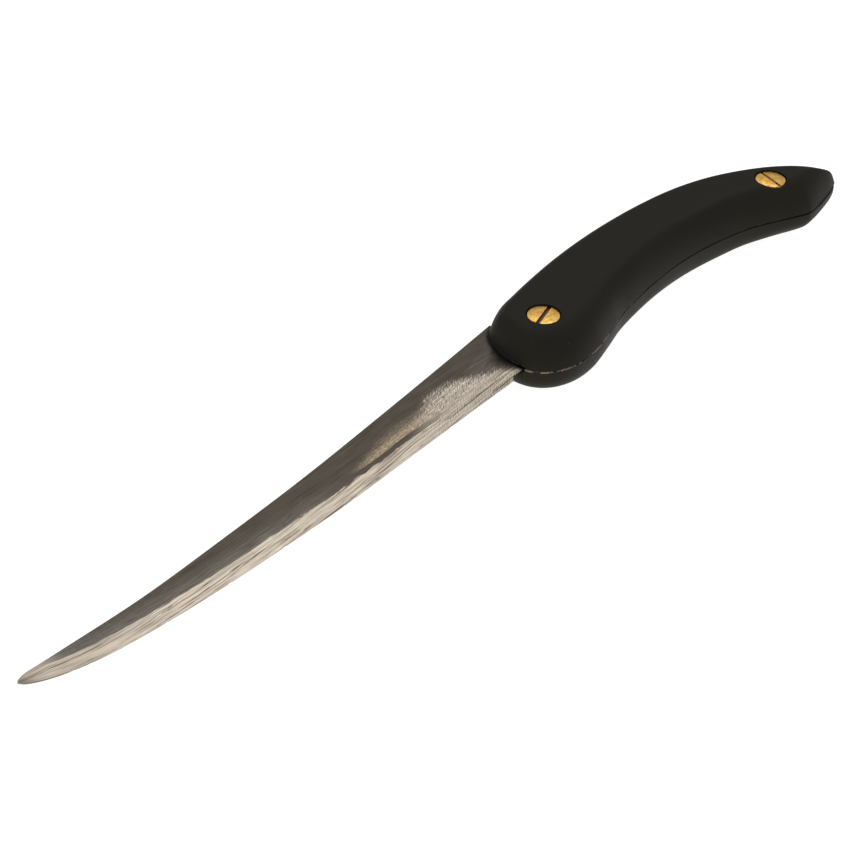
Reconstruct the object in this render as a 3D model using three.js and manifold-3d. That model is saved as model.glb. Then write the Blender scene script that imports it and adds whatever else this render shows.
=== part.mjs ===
// Boning knife lying on its side: a curved blade with a hidden tang, held between two moulded
// handle scales by two slotted brass screws that run into barrel nuts from below.
// Millimetres. +X towards the blade tip, +Y towards the cutting edge, +Z up through the handle.
// The origin is on the flat underside of the handle, midway between the two screws.

import * as THREE from "three";
import { mergeVertices } from "three/addons/utils/BufferGeometryUtils.js";
import Module from "manifold-3d";

const wasm = await Module();
wasm.setup();

// Driving dimensions
const handleThickness = 15;
const seamGap = 0.3;
const middle = handleThickness / 2;
const scaleThickness = (handleThickness - seamGap) / 2;
const bladeThickness = 2.0;
const tipThickness = 1.6;
const pointThickness = 0.4;
const pointLength = 2.5;
const edgeThickness = 0.12;
const bevelWidth = 3.5;
const bevelShareAtTip = 0.75;
const taperStartX = 62;
const fitGap = 0.3;
const heelSlitHalf = 0.45;
const filmInset = 0.3;

const screwSpacing = 88.3;
const screwY = 8.6;
const headDiameter = 7.6;
const headThickness = 1.6;
const headRecess = 0.28;
const slotDepth = 0.6;
const shankDiameter = 3.0;
const shankLength = 9.0;
const nutDiameter = 5.0;
const nutBoreDiameter = 3.2;
const nutTop = 9.4;
const nutBoreFloor = 3.2;
const screws = [
  { name: "front", x: screwSpacing / 2, slotAngle: 19, slotWidth: 1.0 },
  { name: "rear", x: -screwSpacing / 2, slotAngle: 74, slotWidth: 0.8 },
];

// How a scale's wall turns into its flat face: the straight land beside the seam, the power of
// the rounding, and how far into the rounding the wall already is at its foot.
const upperCrown = { sideLand: 0.2, power: 2, start: 0.05 };
const lowerCrown = { sideLand: 1, power: 2.3, start: 0 };

// Outline of the handle in plan, clockwise from the front end: x, y, and the widths over which
// the upper and the lower scale round off from their side land to their flat face.
const handleOutline = [
  [55.3, 4.9, 5, 6], [56.2, 8.5, 6, 7], [56.2, 11.7, 7, 8], [55.4, 14.7, 7.5, 9],
  [53.6, 17.3, 8, 9], [50.6, 19.3, 7.5, 8], [46.6, 20.4, 7, 6.5], [42.1, 20.5, 6.5, 5],
  [36.6, 19.6, 6.2, 4], [28.6, 17, 6, 3.5], [20.6, 14.4, 6, 4], [12.6, 12.7, 6, 4.5],
  [3.6, 11.2, 6, 4.5], [-5.4, 10.4, 6, 4.5], [-14.4, 10.4, 6, 4.5], [-23.4, 11.3, 6.2, 5],
  [-31.4, 12.8, 6.5, 6.5], [-39.4, 15.7, 7, 9], [-45.6, 18.2, 7, 11], [-48.3, 18.95, 7, 11.5],
  [-49.8, 18.9, 7, 11.5], [-53.8, 18.2, 6.8, 10.5], [-58.4, 17.1, 7, 9.5], [-62.4, 16, 7.5, 9.5],
  [-64.7, 15, 8, 9], [-65.4, 14.1, 8, 9], [-64.4, 12.9, 7.4, 8], [-61.3, 10.8, 5.6, 7],
  [-57.1, 6.9, 4.4, 6], [-50.9, 2.3, 3.8, 5], [-42.4, -2.4, 3.6, 4.5], [-32.8, -6.2, 3.6, 4.5],
  [-22.1, -8.6, 3.6, 4.5], [-11.3, -9.6, 3.6, 4.5], [0.7, -9.8, 3.6, 4.5],
  [12.7, -9.2, 3.6, 4.5], [23.5, -8, 3.6, 4.5], [33.5, -6.3, 3.6, 4.5], [42.5, -4.4, 3.6, 4.5],
  [48.6, -2.8, 3.6, 4.5], [53.3, 0.1, 4, 4.5],
];
const handleCentreLine = [
  [47.7, 8.5], [42.7, 7.5], [32.7, 5.5], [20.7, 2.7], [8.7, 1], [-4.3, 0.1], [-17.3, 0.6],
  [-29.3, 2.8], [-41.3, 6.7], [-51.3, 10.1], [-57.3, 11.3],
];

// The blade's back and its cutting edge, both from the tip to the shoulder inside the handle.
const bladeBack = [
  [200.6, 13.5], [198.8, 13.1], [190, 12.85], [169.4, 12.3], [146.3, 10.2], [120.8, 7.4],
  [92.6, 3.4], [61.3, -1.4], [49, -3.4],
];
const bladeEdge = [
  [200.6, 13.8], [199.9, 14.8], [198, 16], [193.7, 17.7], [185.5, 19.45], [176.4, 20.3],
  [161, 20.75], [144.9, 20.5], [121.2, 19.5], [94.6, 17.3], [66, 15], [57, 14.5], [49, 14.3],
];
const tangOutline = [
  [53, 2], [44, -0.2], [30, -1.4], [15, -3.4], [0, -4.4], [-15, -3.8], [-30, -0.6], [-42, 2.6],
  [-49.5, 5.5], [-50.5, 10.5], [-45, 14.4], [-38, 13.4], [-25, 8.8], [-10, 6.4], [5, 6.8],
  [20, 9.2], [36, 13], [48, 13.6], [53, 8],
];

// What the heel loses beyond the sharpened edge, where the root goes into the handle
const heelCut = [[61.6, 16], [61.6, 15.3], [60.1, 13.75], [57, 13.5], [48.5, 13.3], [48.5, 16]];

// The pocket for the root: its back, the shoulder of the bevel and the cut heel, at its opening
// clear of the handle's front and at its inner end
const rootEnds = [
  { x: 62, back: -1.4, shoulder: 11.4, heel: 13.75 },
  { x: 48.7, back: -3.4, shoulder: 10.8, heel: 13.3 },
];

// The soft distance: its power, what it adds up to along a straight side one unit away, the
// depths between which it takes over from the shortest distance, and the least distance it takes
const softPower = 8;
const softIntegral = (5 / 16) * Math.PI;
const softFrom = 1.5;
const softFull = 4;
const leastDistance = 0.05;

// How much of the way to the centre line the crown may take up, and where the last ring lies
const crownShare = 0.8;
const lastRingShare = 0.96;

const outlineSteps = 4;
const crownRings = 7;
const bladeStations = 48;
const stationCrowding = 1.25;
const roundSegments = 40;
const smallRoundSegments = 24;

const materials = {
  blackPlastic: { color: 0x24221f, roughness: 0.55, metalness: 0 },
  bladeSteel: { color: 0x8c857a, roughness: 0.35, metalness: 1 },
  brass: { color: 0xc89a4a, roughness: 0.35, metalness: 1 },
  bedding: { color: 0x6b5a44, roughness: 0.8, metalness: 0 },
};

// Geometry helpers

function closedCurve(points) {
  const vectors = points.map(([x, y]) => new THREE.Vector3(x, y, 0));
  const curve = new THREE.CatmullRomCurve3(vectors, true, "centripetal");
  return curve.getPoints(vectors.length * outlineSteps).slice(0, -1);
}

function openCurve(points) {
  const vectors = points.map(([x, y]) => new THREE.Vector3(x, y, 0));
  return new THREE.CatmullRomCurve3(vectors, false, "centripetal");
}

function moveOutline(outline, distance) {
  const turn = Math.sign(THREE.ShapeUtils.area(outline));
  return outline.map((point, i) => {
    const before = outline.at(i - 1);
    const after = outline[(i + 1) % outline.length];
    const along = new THREE.Vector2(after.x - before.x, after.y - before.y).normalize();
    return new THREE.Vector2(point.x + along.y * distance * turn, point.y - along.x * distance * turn);
  });
}

function geometryFrom(positions, triangles) {
  const geometry = new THREE.BufferGeometry();
  geometry.setAttribute("position", new THREE.Float32BufferAttribute(positions, 3));
  geometry.setIndex(triangles);
  return geometry;
}

// Triangles that fill a closed ring, wound the same way as the ring. plane gives a point's place
// in the ring's own plane.
function capTriangles(ring, plane) {
  const contour = ring.map(plane);
  const turn = Math.sign(THREE.ShapeUtils.area(contour));
  return THREE.ShapeUtils.triangulateShape(contour, []).map(([a, b, c]) => {
    const sameWay = Math.sign(THREE.ShapeUtils.area([contour[a], contour[b], contour[c]])) === turn;
    return sameWay ? [a, b, c] : [a, c, b];
  });
}

// A closed skin over rings that all have the same number of points.
function skin(rings, plane) {
  const count = rings[0].length;
  const last = (rings.length - 1) * count;
  const triangles = [];
  for (let ring = 0; ring < rings.length - 1; ring++) {
    for (let i = 0; i < count; i++) {
      const a = ring * count + i;
      const b = ring * count + ((i + 1) % count);
      triangles.push([a, b, b + count], [a, b + count, a + count]);
    }
  }
  capTriangles(rings[0], plane).forEach(([a, b, c]) => triangles.push([a, c, b]));
  capTriangles(rings.at(-1), plane).forEach((corners) => triangles.push(corners.map((k) => k + last)));
  return outwardGeometry(rings.flat(), triangles);
}

// Turns every triangle round if the closed surface would otherwise face inwards.
function outwardGeometry(points, triangles) {
  let volume = 0;
  for (const [a, b, c] of triangles) {
    volume += points[a].dot(new THREE.Vector3().crossVectors(points[b], points[c]));
  }
  const ordered = volume > 0 ? triangles : triangles.map(([a, b, c]) => [a, c, b]);
  return geometryFrom(points.flatMap((point) => [point.x, point.y, point.z]), ordered.flat());
}

function plate(outline, bottom, top) {
  const shape = new THREE.Shape(outline.map((point) => new THREE.Vector2(point.x, point.y)));
  const geometry = new THREE.ExtrudeGeometry(shape, { depth: top - bottom, bevelEnabled: false });
  return geometry.translate(0, 0, bottom);
}

// A round piece about +Z from radius and height pairs that start and end on the axis.
function turned(profile, segments) {
  const points = profile.map(([radius, height]) => new THREE.Vector2(radius, height));
  return new THREE.LatheGeometry(points, segments).rotateX(Math.PI / 2);
}

function bore(radius, bottom, top, x, y) {
  const geometry = turned([[0, bottom], [radius, bottom], [radius, top], [0, top]], smallRoundSegments);
  return geometry.translate(x, y, 0);
}

function solid(geometry) {
  const bare = geometry.clone();
  bare.deleteAttribute("normal");
  bare.deleteAttribute("uv");
  const merged = mergeVertices(bare, 1e-4);
  const vertProperties = new Float32Array(merged.attributes.position.array);
  const triVerts = new Uint32Array(merged.index.array);
  return new wasm.Manifold(new wasm.Mesh({ numProp: 3, vertProperties, triVerts }));
}

function cut(body, tools) {
  return tools.reduce((left, tool) => left.subtract(solid(tool)), body);
}

function mesh(name, shape, look) {
  const result = shape.getMesh();
  const geometry = geometryFrom(Array.from(result.vertProperties), Array.from(result.triVerts));
  geometry.computeVertexNormals();
  const piece = new THREE.Mesh(geometry, new THREE.MeshStandardMaterial(look));
  piece.name = name;
  return piece;
}

// The pocket between the scales: a plate-shaped one for the tang and, in front of it, one for the
// root of the blade that narrows along the bevel towards the cut heel

const outline = closedCurve(handleOutline);
const tang = closedCurve(tangOutline);

function rootSection({ x, back, shoulder, heel }) {
  const half = bladeThickness / 2;
  const across = [
    [back - fitGap, half], [shoulder, half], [heel + fitGap, heelSlitHalf],
    [heel + fitGap, -heelSlitHalf], [shoulder, -half], [back - fitGap, -half],
  ];
  return across.map(([y, z]) => new THREE.Vector3(x, y, middle + z));
}

function pocketTools() {
  const half = bladeThickness / 2;
  return [
    plate(moveOutline(tang, fitGap), middle - half, middle + half),
    skin(rootEnds.map(rootSection), (point) => new THREE.Vector2(point.y, point.z)),
  ];
}

// Blade: a tapering six-sided section with a bevel on each side of the edge, thinned to the point
// over the last few millimetres

function bladeSection(back, edge) {
  const tipX = bladeBack[0][0];
  const taper = THREE.MathUtils.clamp((back.x - taperStartX) / (tipX - taperStartX), 0, 1);
  const thickness = THREE.MathUtils.lerp(bladeThickness, tipThickness, taper);
  const behindPoint = Math.min((tipX - back.x) / pointLength, 1);
  const fullness = Math.sqrt(1 - (1 - behindPoint) ** 2);
  const half = THREE.MathUtils.lerp(pointThickness, thickness, fullness) / 2;
  const width = back.distanceTo(edge);
  const bevelShare = Math.min(bevelWidth / width, bevelShareAtTip);
  const shoulder = edge.clone().lerp(back, bevelShare);
  const level = [[back, half], [shoulder, half], [edge, edgeThickness / 2]];
  const upper = level.map(([point, height]) => new THREE.Vector3(point.x, point.y, middle + height));
  const lower = level.map(([point, height]) => new THREE.Vector3(point.x, point.y, middle - height));
  return [...upper, ...lower.reverse()];
}

function makeBlade() {
  const back = openCurve(bladeBack);
  const edge = openCurve(bladeEdge);
  const sections = [];
  for (let i = 0; i <= bladeStations; i++) {
    const along = (i / bladeStations) ** stationCrowding;
    sections.push(bladeSection(back.getPointAt(along), edge.getPointAt(along)));
  }
  const blade = solid(skin(sections, (point) => new THREE.Vector2(point.y, point.z)));
  const bottom = middle - bladeThickness / 2;
  const top = middle + bladeThickness / 2;
  const holes = screws.map(({ x }) => bore(nutDiameter / 2 + fitGap, bottom - 1, top + 1, x, screwY));
  const heel = plate(heelCut.map(([x, y]) => new THREE.Vector2(x, y)), bottom - 1, top + 1);
  const forged = cut(blade, [heel]).add(solid(plate(tang, bottom, top)));
  return mesh("blade", cut(forged, holes), materials.bladeSteel);
}

// Handle scales: the surface climbs from the side land to the flat face along an arc-like curve
// whose height depends only on the distance to the outline and on the rounding width there

function roundingWidth(index, up) {
  const column = up > 0 ? 2 : 3;
  const place = index / outlineSteps;
  const from = handleOutline[Math.floor(place)];
  const to = handleOutline[(Math.floor(place) + 1) % handleOutline.length];
  return THREE.MathUtils.lerp(from[column], to[column], place % 1);
}

// Close to the outline the distance is the shortest one. Further in it turns into a soft one that
// all of the outline adds to, so that no ridge forms where two sides are equally near.
function nearOutline(place, widths) {
  const nearest = new THREE.Vector3();
  let shortest = Infinity;
  let pull = 0;
  let weights = 0;
  let weightedWidth = 0;
  outline.forEach((corner, i) => {
    const side = new THREE.Line3(corner, outline[(i + 1) % outline.length]);
    const distance = side.closestPointToPoint(place, true, nearest).distanceTo(place);
    const centreDistance = Math.max(side.getCenter(nearest).distanceTo(place), leastDistance);
    shortest = Math.min(shortest, distance);
    pull += side.distance() / centreDistance ** softPower;
    const weight = side.distance() / Math.max(distance, leastDistance) ** 4;
    weights += weight;
    weightedWidth += weight * widths[i];
  });
  const soft = (pull / softIntegral) ** (-1 / (softPower - 1));
  const softShare = THREE.MathUtils.smoothstep(shortest, softFrom, softFull);
  const distance = THREE.MathUtils.lerp(shortest, soft, softShare);
  return { distance, width: weightedWidth / weights };
}

function crownHeight(distance, width, { sideLand, power, start }) {
  const rise = (share) => (1 - (1 - share) ** power) ** (1 / power);
  const reached = rise(start + (1 - start) * Math.min(distance / width, 1));
  return sideLand + ((scaleThickness - sideLand) * (reached - rise(start))) / (1 - rise(start));
}

// How far each ring has moved in from the outline: close together on the crown, wider apart on
// the flat face, and ending just short of the centre line.
function ringTravels(width, reach) {
  const crown = Math.min(width, reach * crownShare);
  const travels = [];
  for (let ring = 1; ring <= crownRings; ring++) {
    travels.push(crown * (1 - Math.cos((ring / crownRings) * (Math.PI / 2))));
  }
  travels.push(reach * lastRingShare);
  return travels;
}

function makeScale(name, up) {
  const form = up > 0 ? upperCrown : lowerCrown;
  const centreLine = openCurve(handleCentreLine).getPoints(100);
  const level = (height) => middle + up * (seamGap / 2 + height);
  const widths = outline.map((_, index) => roundingWidth(index, up));
  const columns = outline.map((start, index) => {
    const target = centreLine.reduce((best, candidate) => (
      candidate.distanceTo(start) < best.distanceTo(start) ? candidate : best
    ));
    const reach = target.distanceTo(start);
    const crown = ringTravels(widths[index], reach).map((travel) => {
      const place = start.clone().lerp(target, travel / reach);
      const { distance, width } = nearOutline(place, widths);
      return place.setZ(level(crownHeight(distance, width, form)));
    });
    return [start.clone().setZ(level(0)), start.clone().setZ(level(form.sideLand)), ...crown];
  });
  const rings = columns[0].map((_, ring) => columns.map((column) => column[ring]));
  const scale = solid(skin(rings, (point) => new THREE.Vector2(point.x, point.y)));
  const headFloor = up > 0 ? middle * 2 - headRecess - headThickness : -1;
  const headTop = up > 0 ? middle * 2 + 1 : headRecess + headThickness;
  const holes = screws.flatMap(({ x }) => [
    bore(nutDiameter / 2 + fitGap, -1, handleThickness + 1, x, screwY),
    bore(headDiameter / 2 + fitGap, headFloor, headTop, x, screwY),
  ]);
  return mesh(name, cut(scale, [...pocketTools(), ...holes]), materials.blackPlastic);
}

// Bedding: the thin film that fills the seam between the scales, all round the tang

function makeBedding() {
  const bottom = middle - seamGap / 2;
  const top = middle + seamGap / 2;
  const film = solid(plate(moveOutline(outline, -filmInset), bottom, top));
  return mesh("seam_bedding", cut(film, pocketTools()), materials.bedding);
}

// Screws from above and barrel nuts from below, each with a slotted flat head

function slotTool(height, { x, slotAngle, slotWidth }) {
  const box = new THREE.BoxGeometry(headDiameter * 2, slotWidth, slotDepth * 2);
  return box.rotateZ(THREE.MathUtils.degToRad(slotAngle)).translate(x, screwY, height);
}

function makeScrew(screw) {
  const top = handleThickness - headRecess;
  const underHead = top - headThickness;
  const profile = [
    [0, underHead - shankLength], [shankDiameter / 2, underHead - shankLength],
    [shankDiameter / 2, underHead], [headDiameter / 2, underHead], [headDiameter / 2, top], [0, top],
  ];
  const body = solid(turned(profile, roundSegments).translate(screw.x, screwY, 0));
  return mesh(`${screw.name}_screw`, cut(body, [slotTool(top, screw)]), materials.brass);
}

function makeBarrelNut(screw) {
  const headTop = headRecess + headThickness;
  const profile = [
    [0, headRecess], [headDiameter / 2, headRecess], [headDiameter / 2, headTop],
    [nutDiameter / 2, headTop], [nutDiameter / 2, nutTop], [nutBoreDiameter / 2, nutTop],
    [nutBoreDiameter / 2, nutBoreFloor], [0, nutBoreFloor],
  ];
  const body = solid(turned(profile, roundSegments).translate(screw.x, screwY, 0));
  return mesh(`${screw.name}_barrel_nut`, cut(body, [slotTool(headRecess, screw)]), materials.brass);
}

const knife = new THREE.Group();
knife.name = "boning_knife";
knife.add(makeBlade(), makeScale("upper_scale", 1), makeScale("lower_scale", -1), makeBedding());
screws.forEach((screw) => knife.add(makeScrew(screw), makeBarrelNut(screw)));

export default knife;
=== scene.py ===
import math

import bmesh
import bpy
import numpy as np
from mathutils import Matrix, Vector, noise


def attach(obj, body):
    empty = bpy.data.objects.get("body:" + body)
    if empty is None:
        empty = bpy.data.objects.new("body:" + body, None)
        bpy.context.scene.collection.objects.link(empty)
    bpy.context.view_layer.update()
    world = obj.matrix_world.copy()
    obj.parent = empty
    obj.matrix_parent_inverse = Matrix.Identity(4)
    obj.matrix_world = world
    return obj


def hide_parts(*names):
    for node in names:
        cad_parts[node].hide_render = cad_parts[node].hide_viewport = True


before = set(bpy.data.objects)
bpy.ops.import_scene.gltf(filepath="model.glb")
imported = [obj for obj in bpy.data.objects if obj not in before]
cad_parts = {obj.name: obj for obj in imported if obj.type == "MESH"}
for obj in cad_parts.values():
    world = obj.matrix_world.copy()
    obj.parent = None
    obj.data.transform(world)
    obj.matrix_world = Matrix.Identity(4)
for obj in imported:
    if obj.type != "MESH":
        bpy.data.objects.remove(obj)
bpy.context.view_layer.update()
mm = 0.001

# Everything below is in millimetres in the knife's own frame, and becomes metres when a mesh
# is made: +X to the tip, +Y to the cutting edge, +Z up, origin under the middle of the handle.

handle = {
    "thickness": 15.0,
    "seamGap": 0.3,
    "softPower": 8,           # how sharply the middle of the handle tells its nearest side
    "softIntegral": 5 * math.pi / 16,     # goes with softPower 8: true beside a long straight side
    "softFrom": 1.5,          # depths where the soft distance starts and where it holds alone
    "softFull": 4.0,
    "leastDistance": 0.05,
    "seamChamfer": 0.12,
    "buttChamfer": 0.42,      # the scales stand further apart along the cut butt
    "buttStart": (-50, 13),   # x and y where that starts, and how far on it is complete
    "buttFade": (5, 2),
    "fitGap": 0.3,            # clearance round the tang and in the screw holes
    "crownShare": 0.8,        # how much of the way to the centre line the crown may take up
    "lastRingShare": 0.97,    # where on that way the last ring lies
    "outlineSteps": 10,
    "crownRings": 22,
    "faceRings": 6,
    # x, y, then the rounding widths of the upper and the lower scale
    "outline": [
        (55.3, 4.9, 5, 6), (56.2, 8.5, 6, 7), (56.2, 11.7, 7, 8), (55.4, 14.7, 7.5, 9),
        (53.6, 17.3, 8, 9), (50.6, 19.3, 7.5, 8), (46.6, 20.4, 7, 6.5), (42.1, 20.5, 6.5, 5),
        (36.6, 19.6, 6.2, 4), (28.6, 17, 6, 3.5), (20.6, 14.4, 6, 4), (12.6, 12.7, 6, 4.5),
        (3.6, 11.2, 6, 4.5), (-5.4, 10.4, 6, 4.5), (-14.4, 10.4, 6, 4.5), (-23.4, 11.3, 6.2, 5),
        (-31.4, 12.8, 6.5, 6.5), (-39.4, 15.7, 7, 9), (-45.6, 18.2, 7, 11),
        (-48.3, 18.95, 7, 11.5), (-49.8, 18.9, 7, 11.5), (-53.8, 18.2, 6.8, 10.5),
        (-58.4, 17.1, 7, 9.5), (-62.4, 16, 7.5, 9.5), (-64.7, 15, 8, 9), (-65.4, 14.1, 8, 9),
        (-64.4, 12.9, 7.4, 8), (-61.3, 10.8, 5.6, 7), (-57.1, 6.9, 4.4, 6), (-50.9, 2.3, 3.8, 5),
        (-42.4, -2.4, 3.6, 4.5), (-32.8, -6.2, 3.6, 4.5), (-22.1, -8.6, 3.6, 4.5),
        (-11.3, -9.6, 3.6, 4.5), (0.7, -9.8, 3.6, 4.5), (12.7, -9.2, 3.6, 4.5),
        (23.5, -8, 3.6, 4.5), (33.5, -6.3, 3.6, 4.5), (42.5, -4.4, 3.6, 4.5),
        (48.6, -2.8, 3.6, 4.5), (53.3, 0.1, 4, 4.5),
    ],
    "centreLine": [
        (47.7, 8.5), (42.7, 7.5), (32.7, 5.5), (20.7, 2.7), (8.7, 1), (-4.3, 0.1), (-17.3, 0.6),
        (-29.3, 2.8), (-41.3, 6.7), (-51.3, 10.1), (-57.3, 11.3),
    ],
}
middle = handle["thickness"] / 2

# sideLand is the straight wall beside the seam, power the roundness of the crown, and start how
# far into that rounding the wall already is at its foot
upperScale = {
    "name": "upperScale",
    "node": "upper_scale",
    "up": 1,
    "sideLand": 0.2,
    "power": 2,
    "start": 0.05,
}
lowerScale = {
    "name": "lowerScale",
    "node": "lower_scale",
    "up": -1,
    "sideLand": 1,
    "power": 2.3,
    "start": 0,
}


def curveThrough(points, steps, closed):
    # centripetal Catmull-Rom curve through points with any number of columns, spaced by x and y
    points = np.array(points, float)
    count = len(points)
    samples = []
    for i in range(count if closed else count - 1):
        if closed:
            p0, p1, p2, p3 = (points[(i + k) % count] for k in (-1, 0, 1, 2))
        else:
            p1, p2 = points[i], points[i + 1]
            p0 = points[i - 1] if i else 2 * p1 - p2
            p3 = points[i + 2] if i + 2 < count else 2 * p2 - p1
        gaps = [math.sqrt(np.linalg.norm((b - a)[:2])) for a, b in ((p0, p1), (p1, p2), (p2, p3))]
        startSlope = p2 - p1 + gaps[1] * ((p1 - p0) / gaps[0] - (p2 - p0) / (gaps[0] + gaps[1]))
        endSlope = p2 - p1 + gaps[1] * ((p3 - p2) / gaps[2] - (p3 - p1) / (gaps[1] + gaps[2]))
        for t in np.arange(steps) / steps:
            samples.append(
                (2 * t**3 - 3 * t**2 + 1) * p1 + (t**3 - 2 * t**2 + t) * startSlope
                + (3 * t**2 - 2 * t**3) * p2 + (t**3 - t**2) * endSlope
            )
    if not closed:
        samples.append(points[-1])
    return np.array(samples)


def nearOutline(outline, places, widths):
    # distance from each place to the closed outline, and the rounding width that holds there.
    # Close in it is the shortest distance; further in it turns into a soft one that all of the
    # outline adds to, so that no ridge forms where two sides are equally near.
    starts = outline[:, :2]
    sides = np.roll(starts, -1, 0) - starts
    lengths = np.linalg.norm(sides, axis=1)
    offset = places[:, None, :] - starts[None]
    along = ((offset * sides[None]).sum(-1) / lengths**2).clip(0, 1)
    distances = np.linalg.norm(offset - along[..., None] * sides[None], axis=-1)
    shortest = distances.min(1)
    least, power = handle["leastDistance"], handle["softPower"]
    toCentres = np.linalg.norm(offset - 0.5 * sides[None], axis=-1).clip(least)
    soft = ((lengths / toCentres**power).sum(1) / handle["softIntegral"]) ** (-1 / (power - 1))
    softFrom, softFull = handle["softFrom"], handle["softFull"]
    mix = ((shortest - softFrom) / (softFull - softFrom)).clip(0, 1)
    mix = mix * mix * (3 - 2 * mix)
    weights = lengths / distances.clip(least) ** 4
    return shortest * (1 - mix) + soft * mix, (weights * widths).sum(1) / weights.sum(1)


def newPiece(name, verts, faces, material, body, slotName, replaced=(), maps=None):
    mesh = bpy.data.meshes.new(name)
    mesh.from_pydata([Vector(v) * mm for v in verts], [], faces)
    mesh.validate()
    corners = np.zeros(len(mesh.loops), int)
    mesh.loops.foreach_get("vertex_index", corners)
    for mapName, values in (maps or {}).items():
        layer = mesh.uv_layers.new(name=mapName)
        layer.data.foreach_set("uv", values[corners].astype(np.float32).ravel())
    piece = bpy.data.objects.new(name, mesh)
    bpy.context.collection.objects.link(piece)
    cleanUp(mesh)
    mesh.materials.append(material)
    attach(piece, body)
    if replaced:
        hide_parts(*replaced)
    return piece


def cleanUp(mesh, sharpAngle=35):
    bm = bmesh.new()
    bm.from_mesh(mesh)
    bmesh.ops.remove_doubles(bm, verts=bm.verts, dist=1e-7)
    bmesh.ops.recalc_face_normals(bm, faces=bm.faces)
    for face in bm.faces:
        face.smooth = True
    bm.to_mesh(mesh)
    bm.free()
    mesh.set_sharp_from_angle(angle=math.radians(sharpAngle))


def cutHoles(piece, cutters):
    # subtracts each cutter object from the piece and throws the cutters away
    for cutter in cutters:
        cut = piece.modifiers.new("cut", "BOOLEAN")
        cut.object = cutter
        cut.operation = "DIFFERENCE"
        cut.solver = "EXACT"
    graph = bpy.context.evaluated_depsgraph_get()
    material = piece.data.materials[0]
    cutMesh = bpy.data.meshes.new_from_object(piece.evaluated_get(graph))
    piece.modifiers.clear()
    piece.data = cutMesh
    cutMesh.materials.clear()
    cutMesh.materials.append(material)
    cutMesh.polygons.foreach_set("material_index", np.zeros(len(cutMesh.polygons), int))
    for cutter in cutters:
        bpy.data.objects.remove(cutter)
    cleanUp(cutMesh)


def lathe(profile, segments, place):
    # verts and faces of a closed turned body from (radius, height) pairs that end on the axis
    angles = np.arange(segments) * 2 * math.pi / segments
    verts = [(place[0], place[1], profile[0][1])]
    for radius, height in profile[1:-1]:
        for a in angles:
            verts.append((place[0] + radius * math.cos(a), place[1] + radius * math.sin(a), height))
    verts.append((place[0], place[1], profile[-1][1]))
    faces = []
    last = len(verts) - 1
    rows = len(profile) - 2
    for i in range(segments):
        j = (i + 1) % segments
        faces.append((0, 1 + j, 1 + i))
        for row in range(rows - 1):
            a, b = 1 + row * segments + i, 1 + row * segments + j
            faces.append((a, b, b + segments, a + segments))
        faces.append((1 + (rows - 1) * segments + i, 1 + (rows - 1) * segments + j, last))
    return verts, faces


def toolFrom(verts, faces):
    mesh = bpy.data.meshes.new("tool")
    mesh.from_pydata([Vector(v) * mm for v in verts], [], faces)
    tool = bpy.data.objects.new("tool", mesh)
    bpy.context.collection.objects.link(tool)
    cleanUp(mesh)
    return tool


def roundTool(radius, bottom, top, place, segments=64):
    return toolFrom(*lathe([(0, bottom), (radius, bottom), (radius, top), (0, top)], segments, place))


# Materials: a maker function returns the tree's node adder, so each finish reads top to bottom


def nodeAdder(material):
    tree = material.node_tree

    def add(kind, inputs=None, **settings):
        node = tree.nodes.new("ShaderNode" + kind)
        for key, value in settings.items():
            setattr(node, key, value)
        for key, value in (inputs or {}).items():
            if isinstance(value, bpy.types.NodeSocket):
                tree.links.new(value, node.inputs[key])
            else:
                node.inputs[key].default_value = value
        return node

    return add


def newMaterial(name):
    material = bpy.data.materials.new(name)
    material.use_nodes = True
    material.node_tree.nodes.clear()
    return material, nodeAdder(material)


def finishMaterial(add, shader):
    add("OutputMaterial", {"Surface": shader.outputs[0]})


def grain(add, coords, long, wide, detail=3.0, roughness=0.5, turn=0.0):
    # noise whose features are long by wide in the coordinates' own units, turned by some degrees
    sizes = {"Vector": coords, "Scale": (long, wide, wide), "Rotation": (0, 0, math.radians(turn))}
    spread = add("Mapping", sizes, vector_type="TEXTURE")
    wanted = {"Vector": spread.outputs[0], "Scale": 1.0, "Detail": detail, "Roughness": roughness}
    return add("TexNoise", wanted).outputs[0]


def ramp(add, value, low, high, outLow=0.0, outHigh=1.0, smooth=True):
    interpolation = "SMOOTHSTEP" if smooth else "LINEAR"
    wanted = {"Value": value, "From Min": low, "From Max": high, "To Min": outLow, "To Max": outHigh}
    return add("MapRange", wanted, interpolation_type=interpolation).outputs[0]


def calc(add, operation, a, b=0.0):
    node = add("Math", operation=operation)
    for socket, value in zip(node.inputs, (a, b)):
        if isinstance(value, bpy.types.NodeSocket):
            node.id_data.links.new(value, socket)
        else:
            socket.default_value = value
    return node.outputs[0]


def blendColour(add, factor, a, b, mode="MIX"):
    node = add("Mix", data_type="RGBA", blend_type=mode)
    for index, value in ((0, factor), (6, a), (7, b)):
        if isinstance(value, bpy.types.NodeSocket):
            node.id_data.links.new(value, node.inputs[index])
        elif index == 0:
            node.inputs[index].default_value = value
        else:
            node.inputs[index].default_value = (*value, 1)
    return node.outputs[2]


def bump(add, height, depth, strength=1.0, normal=None):
    wanted = {"Height": height, "Distance": depth * mm, "Strength": strength}
    if normal:
        wanted["Normal"] = normal
    return add("Bump", wanted).outputs[0]


def product(add, *factors):
    result = factors[0]
    for factor in factors[1:]:
        result = calc(add, "MULTIPLY", result, factor)
    return result


def shaded(add, colour, brightness):
    grey = add("CombineColor", {"Red": brightness, "Green": brightness, "Blue": brightness})
    return blendColour(add, 1.0, colour, grey.outputs[0], "MULTIPLY")


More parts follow.
